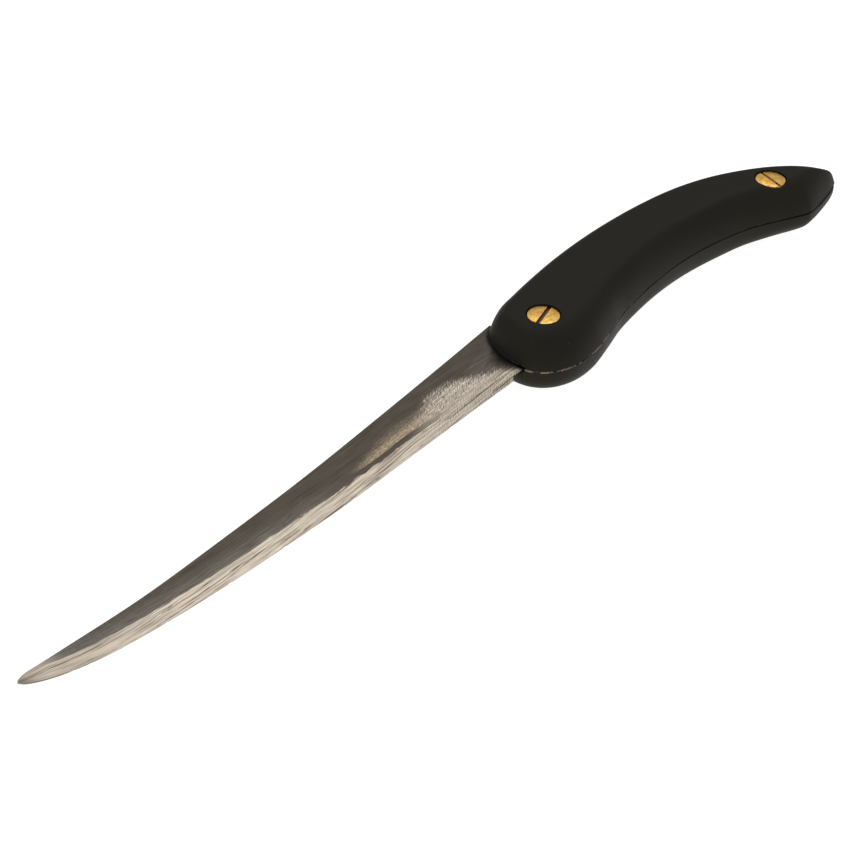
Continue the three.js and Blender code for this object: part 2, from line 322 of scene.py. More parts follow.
plasticFinish = {
    "colour": (0.0208, 0.0186, 0.0140),
    "rubbedColour": (0.0240, 0.0208, 0.0156),
    "dustColour": (0.20, 0.19, 0.17),
    "roughness": (0.42, 0.56),
    "specular": 0.06,
    "sheen": (1.0, 0.95, 0.84),
}


def blackPlastic():
    material, add = newMaterial("blackPlastic")
    place = add("TexCoord").outputs["Object"]
    cloud = grain(add, place, 17 * mm, 17 * mm, detail=4)
    pores = grain(add, place, 0.38 * mm, 0.38 * mm, detail=2)
    scratches = grain(add, place, 22 * mm, 1.1 * mm, detail=1)
    cells = add("TexVoronoi", {"Vector": place, "Scale": 300}, feature="F1").outputs["Distance"]
    rareSpot = ramp(add, grain(add, place, 21 * mm, 21 * mm, detail=0), 0.56, 0.62)
    dust = product(add, ramp(add, cells, 0.032, 0.014), rareSpot)
    rubbed = ramp(add, cloud, 0.42, 0.68)
    colour = blendColour(add, rubbed, plasticFinish["colour"], plasticFinish["rubbedColour"])
    colour = blendColour(add, dust, colour, plasticFinish["dustColour"])
    low, high = plasticFinish["roughness"]
    rough = ramp(add, calc(add, "ADD", cloud, product(add, scratches, 0.35)), 0.4, 0.95, low, high)
    relief = bump(add, pores, 0.012, 0.5)
    relief = bump(add, ramp(add, scratches, 0.66, 0.74), 0.01, 0.4, relief)
    shader = add("BsdfPrincipled", {"Base Color": colour, "Roughness": rough, "Normal": relief})
    shader.inputs["Specular IOR Level"].default_value = plasticFinish["specular"]
    shader.inputs["Specular Tint"].default_value = (*plasticFinish["sheen"], 1)
    finishMaterial(add, shader)
    return material


brassFinish = {
    "bright": (1.0, 0.64, 0.16),
    "dull": (0.76, 0.40, 0.095),
    "dirt": (0.10, 0.048, 0.014),
    "darkSlotDirt": (0.15, 0.062, 0.018),
    "paleSlotDirt": (0.60, 0.34, 0.12),
    "roughness": (0.30, 0.5),
}


def agedBrass(name, faceHeight, facing, slotDirt):
    # facing is 1 for a head that shows its flat face upwards and -1 for one below
    material, add = newMaterial(name)
    place = add("TexCoord").outputs["Object"]
    height = add("SeparateXYZ", {"Vector": place}).outputs["Z"]
    depth = product(add, calc(add, "SUBTRACT", faceHeight * mm, height), facing)
    inSlot = ramp(add, depth, 0.1 * mm, 0.25 * mm)
    mottle = grain(add, place, 1.5 * mm, 1.2 * mm, detail=5, roughness=0.62)
    spots = grain(add, place, 0.45 * mm, 0.45 * mm, detail=2)
    brushing = grain(add, place, 2.4 * mm, 0.12 * mm, detail=1, turn=25)
    worn = ramp(add, calc(add, "ADD", mottle, product(add, spots, 0.25)), 0.52, 0.78)
    colour = blendColour(add, worn, brassFinish["bright"], brassFinish["dull"])
    colour = blendColour(add, ramp(add, spots, 0.62, 0.72, 0, 0.7), colour, brassFinish["dirt"])
    slotColour = blendColour(add, ramp(add, spots, 0.4, 0.6), slotDirt, brassFinish["dirt"])
    colour = blendColour(add, inSlot, colour, slotColour)
    low, high = brassFinish["roughness"]
    rough = ramp(add, mottle, 0.3, 0.7, low, high)
    metal = calc(add, "SUBTRACT", 1.0, inSlot)
    relief = bump(add, brushing, 0.01, 0.5)
    relief = bump(add, mottle, 0.05, 0.5, relief)
    wanted = {"Base Color": colour, "Roughness": rough, "Metallic": metal, "Normal": relief}
    finishMaterial(add, add("BsdfPrincipled", wanted))
    return material


steelFinish = {
    "flat": (0.098, 0.080, 0.062),
    "flatNearTip": (0.140, 0.122, 0.101),
    "polishedTip": (0.44, 0.38, 0.31),
    "fringe": (0.175, 0.160, 0.138),
    "bevel": (0.595, 0.515, 0.42),
    "groove": (0.11, 0.08, 0.055),
    "tan": (0.70, 0.54, 0.37),
    # black for the darkening of the steel close to the handle
    "darkByHandle": (0.008, 0.008, 0.010),
    "roughness": (0.30, 0.44),
    "bevelWidth": 3.5,
    # places along the blade, in millimetres from the tip, where each mark starts and where it is full
    "lighterTip": (30, 4),
    "polishedEnd": (11, 4),
    "tanStart": (87, 96),
    "tanEnd": (124, 114),
    "darkBandStart": (74, 84),
    "darkBandEnd": (118, 112),
    "brushedRoot": (130, 138),
    # middle of the patch ground up into the flat near the handle, its half length and its height
    "patchMiddle": 126,
    "patchReach": 9.5,
    "patchHeight": 6.0,
    "patchFade": 1.9,
    "patchStart": (104, 123),
    "patchEnd": (146, 138),
}


def groundSteel():
    # "bladeMap" holds millimetres from the tip and from the edge, "rootMap" those from the handle
    finish = steelFinish
    material, add = newMaterial("groundSteel")
    bladeMap = add("UVMap", uv_map="bladeMap").outputs[0]
    parts = add("SeparateXYZ", {"Vector": bladeMap})
    fromTip, fromEdge = parts.outputs["X"], parts.outputs["Y"]
    rootMap = add("UVMap", uv_map="rootMap").outputs[0]
    toHandle = add("SeparateXYZ", {"Vector": rootMap}).outputs["X"]

    hair = grain(add, bladeMap, 18, 0.13, detail=2)
    lines = grain(add, bladeMap, 12, 0.42, detail=3, roughness=0.6)
    dashes = grain(add, bladeMap, 6, 0.24, detail=2, roughness=0.6, turn=1.5)
    across = grain(add, bladeMap, 0.42, 3.2, detail=2)
    slanted = grain(add, bladeMap, 1.5, 0.26, detail=3, turn=38)
    clouds = grain(add, bladeMap, 8, 3, detail=4)
    crumbs = grain(add, bladeMap, 0.95, 0.36, detail=4, roughness=0.65)
    torn = grain(add, bladeMap, 3.2, 0.4, detail=4, roughness=0.6)
    tatters = ramp(add, torn, 0.3, 0.7, -1, 1, smooth=False)

    # dull flat, lighter towards the tip and with short marks across it there
    lighter = ramp(add, fromTip, *finish["lighterTip"])
    colour = blendColour(add, lighter, finish["flat"], finish["flatNearTip"])
    acrossMarks = product(add, ramp(add, across, 0.50, 0.66), ramp(add, fromTip, 52, 8, 0, 0.7))
    colour = blendColour(add, acrossMarks, colour, finish["fringe"])
    colour = shaded(add, colour, ramp(add, clouds, 0.25, 0.75, 0.86, 1.16))
    colour = shaded(add, colour, ramp(add, lines, 0.25, 0.75, 0.80, 1.22))
    colour = shaded(add, colour, ramp(add, hair, 0.25, 0.75, 0.78, 1.24))

    # half-polished fringe above the bevel, torn into dark and light lines
    tearing = product(add, tatters, ramp(add, fromTip, 30, 70, 0.5, 1.1))
    tornEdge = calc(add, "ADD", fromEdge, tearing)
    fringe = product(add, ramp(add, tornEdge, 8.2, 3.8, 0, 1), ramp(add, fromTip, 92, 66, 0.12, 1.0))
    fringe = product(add, fringe, ramp(add, dashes, 0.60, 0.5, 0.1, 1))
    colour = blendColour(add, fringe, colour, finish["fringe"])
    nearHandle = product(add, ramp(add, fromTip, *finish["brushedRoot"]), ramp(add, fromEdge, 13.5, 9))
    nearHandle = product(add, nearHandle, ramp(add, dashes, 0.4, 0.6, 0, 0.7))
    colour = blendColour(add, nearHandle, colour, finish["fringe"])
    colour = blendColour(add, ramp(add, fromTip, *finish["polishedEnd"]), colour, finish["polishedTip"])

    # speckled tan patch over a plain dark band
    tanTop = ramp(add, fromTip, 86, 106, 6.4, 9.6)
    belowTop = ramp(add, calc(add, "SUBTRACT", tornEdge, tanTop), 0.4, -3.4)
    tanArea = product(add, ramp(add, fromEdge, 4.4, 5.0), belowTop)
    tanArea = product(add, tanArea, ramp(add, fromEdge, 7.4, 5.6, 0.38, 1))
    tanArea = product(add, tanArea, ramp(add, fromTip, *finish["tanStart"]))
    tanArea = product(add, tanArea, ramp(add, fromTip, *finish["tanEnd"]))
    tan = product(add, tanArea, ramp(add, crumbs, 0.43, 0.60, 0.4, 1))
    colour = blendColour(add, tan, colour, finish["tan"])
    band = product(
        add, ramp(add, fromTip, *finish["darkBandStart"]), ramp(add, fromTip, *finish["darkBandEnd"])
    )
    band = product(add, band, ramp(add, tornEdge, 5.2, 4.6))
    colour = shaded(add, colour, ramp(add, band, 0, 1, 1, 0.9))

    # bevel, and the rough patch ground up into the flat near the handle
    wandering = product(add, tatters, ramp(add, fromTip, 40, 72, 0.16, 0.4))
    bevelLine = calc(add, "ADD", fromEdge, wandering)
    bevelLine = calc(add, "ADD", bevelLine, product(add, band, 0.2))
    bevel = ramp(add, bevelLine, finish["bevelWidth"] + 0.14, finish["bevelWidth"] - 0.16)
    fromMiddle = calc(add, "SUBTRACT", fromTip, finish["patchMiddle"])
    along = calc(add, "DIVIDE", fromMiddle, finish["patchReach"])
    swell = calc(add, "POWER", math.e, product(add, along, along, -1.0))
    patchTop = calc(add, "ADD", product(add, swell, finish["patchHeight"]), finish["bevelWidth"])
    shoulder = product(add, ramp(add, fromTip, 106, 113, 0, 2.2), ramp(add, fromTip, 126, 118))
    patchTop = calc(add, "ADD", patchTop, shoulder)
    roughTop = calc(add, "ADD", fromEdge, ramp(add, slanted, 0.3, 0.7, -1.0, 1.0, smooth=False))
    overTop = calc(add, "SUBTRACT", roughTop, patchTop)
    patch = ramp(add, overTop, finish["patchFade"], -finish["patchFade"])
    patch = product(add, patch, ramp(add, fromTip, *finish["patchStart"]))
    patch = product(add, patch, ramp(add, fromTip, *finish["patchEnd"], 0.25, 1))
    grooves = product(add, ramp(add, dashes, 0.60, 0.67), ramp(add, clouds, 0.46, 0.58))
    longGrooves = ramp(add, grain(add, bladeMap, 30, 0.27, detail=1, turn=2.2), 0.61, 0.65, 0, 0.9)
    slantGrooves = ramp(add, grain(add, bladeMap, 22, 0.24, detail=1, turn=4.5), 0.63, 0.66, 0, 0.8)
    grooves = calc(add, "MAXIMUM", grooves, calc(add, "MAXIMUM", longGrooves, slantGrooves))
    bevelColour = shaded(add, finish["bevel"], ramp(add, lines, 0.3, 0.7, 0.76, 1.14))
    # painted shade: the bevel's colour is held at 0.8 within 12 mm of the tip and comes back to full by
    # 34 mm, to damp the highlight the bevel catches near the point
    bevelColour = shaded(add, bevelColour, ramp(add, fromTip, 12, 34, 0.80, 1))
    bevelColour = shaded(add, bevelColour, ramp(add, hair, 0.3, 0.7, 0.84, 1.12))
    bevelColour = blendColour(add, grooves, bevelColour, finish["groove"])
    scraped = ramp(add, slanted, 0.34, 0.56, 1.7, 1.15)
    bevelColour = shaded(add, bevelColour, ramp(add, fromEdge, 3.6, 5.0, 1, scraped))
    pits = product(add, ramp(add, slanted, 0.55, 0.66, 0, 0.7), ramp(add, fromEdge, 3.8, 5.0))
    bevelColour = blendColour(add, pits, bevelColour, finish["flat"])
    colour = blendColour(add, calc(add, "MAXIMUM", bevel, patch), colour, bevelColour)

    # black darkening of the steel close to the handle, wide in the middle and thin at the edge
    darkByHandleReach = ramp(add, fromEdge, 13, 6, 1.0, 4.6)
    darkByHandleReach = product(add, darkByHandleReach, ramp(add, fromEdge, 1.2, 3.8, 0.3, 1))
    darkByHandleReach = product(add, darkByHandleReach, ramp(add, clouds, 0.3, 0.7, 0.6, 1.25))
    darkByHandleReach = product(add, darkByHandleReach, ramp(add, crumbs, 0.3, 0.7, 0.85, 1.15))
    darkByHandleMask = ramp(add, calc(add, "DIVIDE", toHandle, darkByHandleReach), 1.25, 0.1)
    colour = blendColour(add, darkByHandleMask, colour, finish["darkByHandle"])

    low, high = finish["roughness"]
    rough = ramp(add, clouds, 0.3, 0.7, low, high)
    relief = bump(add, hair, 0.02, 0.7)
    relief = bump(add, lines, 0.05, 0.6, relief)
    relief = bump(add, product(add, crumbs, tan), 0.12, 0.7, relief)
    relief = bump(add, product(add, slanted, patch), 0.16, 0.9, relief)
    shader = add("BsdfPrincipled", {"Base Color": colour, "Roughness": rough, "Normal": relief})
    shader.inputs["Metallic"].default_value = 1
    finishMaterial(add, shader)
    return material


beddingFinish = {
    "dark": (0.007, 0.0065, 0.006),
    "dried": (0.24, 0.175, 0.115),
    "roughness": 0.7,
    "specular": 0.2,
}


def driedBedding():
    # dark, with pale dried beads along the belly near the front end
    material, add = newMaterial("driedBedding")
    place = add("TexCoord").outputs["Object"]
    parts = add("SeparateXYZ", {"Vector": place})
    beads = ramp(add, grain(add, place, 2.2 * mm, 2.2 * mm, detail=4, roughness=0.65), 0.42, 0.56)
    nearFront = ramp(add, parts.outputs["X"], 12 * mm, 38 * mm, 0.25, 1)
    onBelly = ramp(add, parts.outputs["Y"], 9 * mm, 14 * mm)
    dried = product(add, beads, nearFront, onBelly)
    colour = blendColour(add, dried, beddingFinish["dark"], beddingFinish["dried"])
    relief = bump(add, grain(add, place, 0.45 * mm, 0.45 * mm), 0.05, 0.6)
    shader = add("BsdfPrincipled", {"Base Color": colour, "Normal": relief})
    shader.inputs["Roughness"].default_value = beddingFinish["roughness"]
    shader.inputs["Specular IOR Level"].default_value = beddingFinish["specular"]
    finishMaterial(add, shader)
    return material


# Handle scales


def crownHeight(distance, width, form):
    def rise(share):
        return np.maximum(0, 1 - (1 - share) ** form["power"]) ** (1 / form["power"])

    foot = rise(form["start"])
    reached = rise(form["start"] + (1 - form["start"]) * np.minimum(distance / width, 1))
    crown = (handle["thickness"] - handle["seamGap"]) / 2 - form["sideLand"]
    return form["sideLand"] + crown * (reached - foot) / (1 - foot)


def scaleRings(outline, widths, form):
    # rings of points from the parting face, up the side land, over the crown and in to the middle
    centreLine = curveThrough(handle["centreLine"], steps=20, closed=False)
    start = outline[:, :2]
    nearest = np.linalg.norm(start[:, None] - centreLine[None], axis=-1).argmin(1)
    inward = centreLine[nearest] - start
    reach = np.linalg.norm(inward, axis=1)
    inward /= reach[:, None]

    def ring(travel, height):
        level = middle + form["up"] * (handle["seamGap"] / 2 + height)
        return np.column_stack([start + inward * np.broadcast_to(travel, reach.shape)[:, None], level])

    flat = np.zeros(len(start))
    (buttX, buttY), (fadeX, fadeY) = handle["buttStart"], handle["buttFade"]
    atButt = ((buttX - start[:, 0]) / fadeX).clip(0, 1) * ((start[:, 1] - buttY) / fadeY).clip(0, 1)
    chamfer = handle["seamChamfer"] + (handle["buttChamfer"] - handle["seamChamfer"]) * atButt
    foot = np.maximum(chamfer + 0.03, form["sideLand"])
    rings = [ring(chamfer * 1.5, flat), ring(0, chamfer), ring(0, foot)]
    crown = np.minimum(widths, reach * handle["crownShare"])
    crownShares = 1 - np.cos(np.linspace(0, math.pi / 2, handle["crownRings"] + 1)[1:])
    travels = [crown * share for share in crownShares]
    faceShares = np.linspace(0, 1, handle["faceRings"] + 1)[1:]
    faceReach = reach * handle["lastRingShare"] - crown
    travels += [crown + faceReach * share for share in faceShares]
    for travel in travels:
        places = start + inward * travel[:, None]
        rings.append(ring(travel, crownHeight(*nearOutline(outline, places, widths), form)))
    return rings


def ringSkin(rings):
    # quads between rings that share a point count, and a face over each end
    count = len(rings[0])
    verts = np.concatenate(rings)
    faces = []
    for row in range(len(rings) - 1):
        for i in range(count):
            a, b = row * count + i, row * count + (i + 1) % count
            faces.append((a, b, b + count, a + count))
    faces.append(tuple(range(count))[::-1])
    faces.append(tuple(range((len(rings) - 1) * count, len(rings) * count)))
    return verts, faces


def plateTool(outline, bottom, top):
    rings = []
    for level in (bottom, top):
        rings.append(np.column_stack([outline[:, :2], np.full(len(outline), level)]))
    return toolFrom(*ringSkin(rings))


def grown(outline, distance):
    # the outline moved outwards by a distance
    along = np.roll(outline, -1, 0)[:, :2] - np.roll(outline, 1, 0)[:, :2]
    along /= np.linalg.norm(along, axis=1)[:, None]
    x, y = outline[:, 0], outline[:, 1]
    turn = np.sign((x * np.roll(y, -1) - np.roll(x, -1) * y).sum())
    return outline[:, :2] + distance * turn * np.column_stack([along[:, 1], -along[:, 0]])


tangShape = {
    "thickness": 2.0,
    "outline": [
        (53, 2), (44, -0.2), (30, -1.4), (15, -3.4), (0, -4.4), (-15, -3.8), (-30, -0.6), (-42, 2.6),
        (-49.5, 5.5), (-50.5, 10.5), (-45, 14.4), (-38, 13.4), (-25, 8.8), (-10, 6.4), (5, 6.8),
        (20, 9.2), (36, 13), (48, 13.6), (53, 8),
    ],
    # x, back, bevel shoulder and heel at the two ends of the pocket for the root of the blade
    "root": [(62, -1.4, 11.4, 13.75), (48.7, -3.4, 10.8, 13.3)],
    "slitHalf": 0.45,
}
screwShape = {
    "spacing": 88.3,
    "y": 8.6,
    "headRadius": 3.8,
    "headThickness": 1.6,
    "recess": 0.28,
    "edgeRound": 0.12,
    "cornerShare": 0.3,       # how far the rounded edge stays inside its corner, as a share of it
    "segments": 96,
    "shankRadius": 1.5,
    "threadPitch": 0.7,
    "threadDepth": 0.32,
    "shankLength": 9.0,
    "shankOverlap": 0.05,     # how far the shank runs up into the head
    "nutRadius": 2.5,
    "nutBoreRadius": 1.6,
    "nutTop": 9.4,
    "nutBoreFloor": 3.2,
    # angle, width and open depth
    "slots": {"front": (19, 1.0, 0.6), "rear": (74, 0.8, 0.42)},
}
screwPlaces = {
    "front": (screwShape["spacing"] / 2, screwShape["y"]),
    "rear": (-screwShape["spacing"] / 2, screwShape["y"]),
}


def rootTool(gap):
    # the space for the root of the blade, narrowing towards its heel
    half, slit = tangShape["thickness"] / 2, tangShape["slitHalf"]
    rings = []
    for x, back, shoulder, heel in tangShape["root"]:
        across = [(back - gap, half), (shoulder, half), (heel + gap, slit)]
        across += [(y, -z) for y, z in reversed(across)]
        rings.append(np.array([(x, y, middle + z) for y, z in across]))
    return toolFrom(*ringSkin(rings))


def pocketTools():
    tang = curveThrough(tangShape["outline"], steps=6, closed=True)
    half = tangShape["thickness"] / 2
    tangPlate = plateTool(grown(tang, handle["fitGap"]), middle - half, middle + half)
    return [tangPlate, rootTool(handle["fitGap"])]


def screwHoleTools(up):
    holeRadius = screwShape["nutRadius"] + handle["fitGap"]
    headRadius = screwShape["headRadius"] + handle["fitGap"]
    headDepth = screwShape["recess"] + screwShape["headThickness"]
    outside = middle + up * (middle + 1)
    shoulder = middle + up * (middle - headDepth)
    tools = []
    for place in screwPlaces.values():
        tools.append(roundTool(holeRadius, -1, handle["thickness"] + 1, place))
        tools.append(roundTool(headRadius, min(outside, shoulder), max(outside, shoulder), place))
    return tools


def makeScale(form, material):
    outline = curveThrough(handle["outline"], handle["outlineSteps"], closed=True)
    widths = outline[:, 2] if form["up"] > 0 else outline[:, 3]
    verts, faces = ringSkin(scaleRings(outline, widths, form))
    scale = newPiece(form["name"], verts, faces, material, "knife", "handle_plastic", [form["node"]])
    cutHoles(scale, [*pocketTools(), *screwHoleTools(form["up"])])


# Bedding that shows in the seam, and the fillet of it round the steel at the front

bedding = {
    # how far the film lies inside the handle's wall at places along it; below zero it stands proud
    "insets": [(-66, 0.7), (-50, 0.6), (-30, 0.3), (20, 0.16), (34, 0.02), (50, -0.04), (56, -0.04)],
    "unevenness": 0.14,
    "waves": [(6, 3, 0.7), (1.3, 8, 0.5)],    # wavelength, seed and share of the unevenness
    "width": 3.0,
    "clearance": 0.005,       # between the film and the flat face of either scale
    "chamferFilled": 0.6,     # share of the seam's chamfer that the bead fills
    "beadDepth": 0.16,        # how far in the bead starts, and how far its crest stands out
    "beadCrest": 0.07,
    # the fillet: its place round the front end, its least and greatest sizes, and its section
    "filletBehind": 50.2,
    "filletSpan": (-1.8, 13.2),
    "filletWidth": (0.05, 0.4),
    "filletHeight": (0.1, 0.35),
    "filletLeast": 0.02,
    "filletKnee": (0.35, 0.4),
    "filletRoot": 0.3,        # how far it reaches back between the steel and the scale
    "filletSink": 0.02,       # how far it is let into the steel
    "filletEnd": 6,           # points over which it fades at both ends
}


def unevenBy(places, size, seed):
    # smooth repeatable unevenness from -1 to 1 at each place, size being its wavelength
    return np.array([noise.noise(Vector((p[0] / size, p[1] / size, seed))) for p in places])


def makeBedding(material):
    outline = curveThrough(handle["outline"], steps=16, closed=True)
    half = handle["seamGap"] / 2 - bedding["clearance"]
    beadHalf = half + handle["seamChamfer"] * bedding["chamferFilled"]
    wobble = sum(unevenBy(outline, size, seed) * share for size, seed, share in bedding["waves"])
    insets = np.array(bedding["insets"])
    inset = np.interp(outline[:, 0], insets[:, 0], insets[:, 1]) - bedding["unevenness"] * wobble
    outer = grown(outline, -inset[:, None])
    inner = grown(outline, -bedding["width"])
    shoulder = grown(outline, -(inset + bedding["beadDepth"])[:, None])
    crest = grown(outline, -(inset - bedding["beadCrest"])[:, None])
    rows = [(inner, -half), (shoulder, -half), (outer, -beadHalf), (crest, 0)]
    rows += [(outer, beadHalf), (shoulder, half), (inner, half)]
    count = len(outline)
    verts = [np.column_stack([row, np.full(count, middle + level)]) for row, level in rows]
    verts = np.concatenate(verts)
    faces = []
    for row in range(len(rows)):
        below = (row + 1) % len(rows) * count
        for i in range(count):
            j = (i + 1) % count
            faces.append((row * count + i, row * count + j, below + j, below + i))
    film = newPiece("seamBedding", verts, faces, material, "knife", "bedding", ["seam_bedding"])
    cutHoles(film, [rootTool(gap=0)])


def makeFillet(name, up, material):
    # a ragged triangular bead between the blade's face and the front end of one scale
    outline = curveThrough(handle["outline"], steps=16, closed=True)[:, :2]
    lowY, highY = bedding["filletSpan"]
    inSpan = (outline[:, 1] < highY) & (outline[:, 1] > lowY)
    front = outline[(outline[:, 0] > bedding["filletBehind"]) & inSpan]
    front = front[front[:, 1].argsort()]
    along = np.gradient(front, axis=0)
    along /= np.linalg.norm(along, axis=1)[:, None]
    outward = np.column_stack([along[:, 1], -along[:, 0]])
    order = np.arange(len(front))
    ease = np.minimum(1, np.minimum(order, order[::-1]) / bedding["filletEnd"])
    spread = 0.5 + 0.5 * unevenBy(front, size=1.6, seed=5 + up)
    lowWidth, highWidth = bedding["filletWidth"]
    lowHeight, highHeight = bedding["filletHeight"]
    width = (lowWidth + (highWidth - lowWidth) * spread) * ease + bedding["filletLeast"]
    height = (lowHeight + (highHeight - lowHeight) * spread) * ease + bedding["filletLeast"]
    face = middle + up * (tangShape["thickness"] / 2 - bedding["filletSink"])
    kneeOut, kneeUp = bedding["filletKnee"]
    foot = front + outward * width[:, None]
    knee = front + outward * (width * kneeOut)[:, None]
    root = front - outward * bedding["filletRoot"]
    rows = [
        np.column_stack([root, np.full(len(front), face)]),
        np.column_stack([foot, np.full(len(front), face)]),
        np.column_stack([knee, face + up * height * kneeUp]),
        np.column_stack([front - outward * lowWidth, face + up * height]),
        np.column_stack([root, face + up * height]),
    ]
    count = len(front)
    verts = np.concatenate(rows)
    faces = []
    for row in range(len(rows)):
        below = (row + 1) % len(rows) * count
        for i in range(count - 1):
            faces.append((row * count + i, row * count + i + 1, below + i + 1, below + i))
    faces.append([row * count for row in range(len(rows))])
    faces.append([row * count + count - 1 for row in range(len(rows))][::-1])
    newPiece(name, verts, faces, material, "knife", "bedding")


# Blade

blade = {
    "thickness": 2.0,
    "tipThickness": 1.6,
    "pointThickness": 0.4,
    "pointLength": 2.5,
    "edgeThickness": 0.12,
    "bevelWidth": 3.5,
    "bevelShareAtTip": 0.75,
    "taperStart": 62,         # the blade keeps its full thickness from here into the handle
    "bevelWander": 0.3,
    "bevelFullness": 0.92,    # below 1 the ground face bulges a little
    "spineRound": 0.12,
    "spineRoundFade": 6,      # mm from the tip over which the spine's rounding comes in
    "backShare": 0.62,        # thickness left at the very back, as a share of the blade's
    "stations": 420,
    "stationCrowding": 1.25,  # above 1 the stations crowd towards the point
    "fineWear": 0.015,
    "wearFade": 3,            # mm from the tip over which the wear comes in
    "wearReach": 0.45,        # how far in from the edge the wear is felt
    "farSideShift": 311,      # mm that the far side's finish is moved along, so that it differs
    # places (mm from the tip), depths and half lengths of small nicks in the edge
    "nicks": [
        (9.5, 0.1, 0.5), (13, 0.07, 0.3), (31, 0.06, 0.4), (47.5, 0.12, 0.45), (63, 0.13, 0.5),
        (71, 0.06, 0.3), (84, 0.11, 0.5), (96, 0.12, 0.4), (104, 0.07, 0.5), (117, 0.11, 0.45),
        (124, 0.08, 0.5), (133.5, 0.15, 0.4), (139, 0.12, 0.5),
    ],
    "back": [
        (200.6, 13.5), (198.8, 13.1), (190, 12.85), (169.4, 12.3), (146.3, 10.2), (120.8, 7.4),
        (92.6, 3.4), (61.3, -1.4), (49, -3.4),
    ],
    "edge": [
        (200.6, 13.8), (199.9, 14.8), (198, 16), (193.7, 17.7), (185.5, 19.45), (176.4, 20.3),
        (161, 20.75), (144.9, 20.5), (121.2, 19.5), (94.6, 17.3), (66, 15), (57, 14.5), (49, 14.3),
    ],
    # what the heel loses beyond the sharpened edge
    "heelCut": [(61.6, 16), (61.6, 15.3), (60.1, 13.75), (57, 13.5), (48.5, 13.3), (48.5, 16)],
}


def lineAt(points, x):
    curve = curveThrough(points, steps=24, closed=False)[::-1]
    return np.interp(x, curve[:, 0], curve[:, 1])


def onLine(x):
    # x as points in a plane, for the unevenness and the maps that only run one way
    return np.column_stack([x, 0 * x])


def edgeWear(fromTip):
    # how far nicks and fine unevenness take the edge back
    wear = blade["fineWear"] + blade["fineWear"] * unevenBy(onLine(fromTip), size=1.1, seed=4)
    for place, depth, halfLength in blade["nicks"]:
        wear = wear + depth * np.exp(-((fromTip - place) / halfLength) ** 2)
    return wear


def makeBlade(material):
    tipX, endX = blade["back"][0][0], blade["back"][-1][0]
    spacing = np.linspace(0, 1, blade["stations"]) ** blade["stationCrowding"]
    x = tipX - (tipX - endX) * spacing
    fromTip = tipX - x
    back, edge = lineAt(blade["back"], x), lineAt(blade["edge"], x)
    wear = edgeWear(fromTip) * np.minimum(1, fromTip / blade["wearFade"])
    width = edge - back
    wander = unevenBy(onLine(x), size=11, seed=2) + 0.4 * unevenBy(onLine(x), size=3, seed=7)
    bevel = blade["bevelWidth"] + blade["bevelWander"] * wander
    bevel = np.minimum(bevel, width * blade["bevelShareAtTip"])
    taper = ((x - blade["taperStart"]) / (tipX - blade["taperStart"])).clip(0, 1)
    thickness = blade["thickness"] + (blade["tipThickness"] - blade["thickness"]) * taper
    fullness = np.sqrt(1 - (1 - np.minimum(fromTip / blade["pointLength"], 1)) ** 2)
    half = (blade["pointThickness"] + (thickness - blade["pointThickness"]) * fullness) / 2
    edgeHalf = blade["edgeThickness"] / 2

    # shares across the bevel and then across the flat, from the edge to the back
    bevelShares = np.linspace(0, 1, 9)
    flatShares = np.concatenate([np.linspace(0, 1, 12)[1:], [1]])
    columns, across = [], []
    for share in bevelShares:
        columns.append((bevel * share, edgeHalf + (half - edgeHalf) * share ** blade["bevelFullness"]))
        across.append(blade["bevelWidth"] * share + 0 * x)
    rounding = blade["spineRound"] * np.minimum(1, fromTip / blade["spineRoundFade"])
    for index, share in enumerate(flatShares):
        last = index == len(flatShares) - 1
        reachAcross = width if last else bevel + (width - rounding - bevel) * share
        columns.append((reachAcross, half * blade["backShare"] if last else half))
        across.append(blade["bevelWidth"] + reachAcross - bevel)

    outline = curveThrough(handle["outline"], steps=8, closed=True)
    verts, bladeMap, rootMap = [], [], []
    for up in (1, -1):
        for (reachAcross, height), fromEdge in zip(columns, across):
            worn = wear * np.exp(-((reachAcross / blade["wearReach"]) ** 2))
            places = np.column_stack([x, edge - reachAcross - worn])
            verts.append(np.column_stack([places, middle + up * height]))
            shift = 0 if up > 0 else blade["farSideShift"]
            bladeMap.append(np.column_stack([fromTip + shift, fromEdge]))
            toHandle = nearOutline(outline, places, 0 * outline[:, 0])[0]
            rootMap.append(onLine(toHandle))
    count, rows = len(x), len(columns)
    faces = []
    for side in range(2):
        for row in range(rows - 1):
            base = (side * rows + row) * count
            for i in range(count - 1):
                faces.append((base + i, base + i + 1, base + count + i + 1, base + count + i))
    lower = rows * count
    topBack, lowBack = (rows - 1) * count, lower + (rows - 1) * count
    for i in range(count - 1):
        faces.append((i, i + 1, lower + i + 1, lower + i))
        faces.append((topBack + i, topBack + i + 1, lowBack + i + 1, lowBack + i))
    for end in (0, count - 1):
        loop = [row * count + end for row in range(rows)]
        faces.append(loop + [lower + row * count + end for row in reversed(range(rows))])
    verts = np.concatenate(verts)
    maps = {"bladeMap": np.concatenate(bladeMap), "rootMap": np.concatenate(rootMap)}
    piece = newPiece("knifeBlade", verts, faces, material, "knife", "blade_steel", ["blade"], maps)
    heelCut = np.array(blade["heelCut"], float)
    cutHoles(piece, [plateTool(heelCut, middle - blade["thickness"], middle + blade["thickness"])])


def makeTang(material):
    outline = curveThrough(tangShape["outline"], steps=6, closed=True)
    half = tangShape["thickness"] / 2
    levels = [np.full(len(outline), middle + level) for level in (-half, half)]
    rings = [np.column_stack([outline[:, :2], level]) for level in levels]
    piece = newPiece("tang", *ringSkin(rings), material, "knife", "blade_steel")
    radius = screwShape["nutRadius"] + handle["fitGap"]
    bottom, top = middle - tangShape["thickness"], middle + tangShape["thickness"]
    cutHoles(piece, [roundTool(radius, bottom, top, place) for place in screwPlaces.values()])


# Screws and barrel nuts


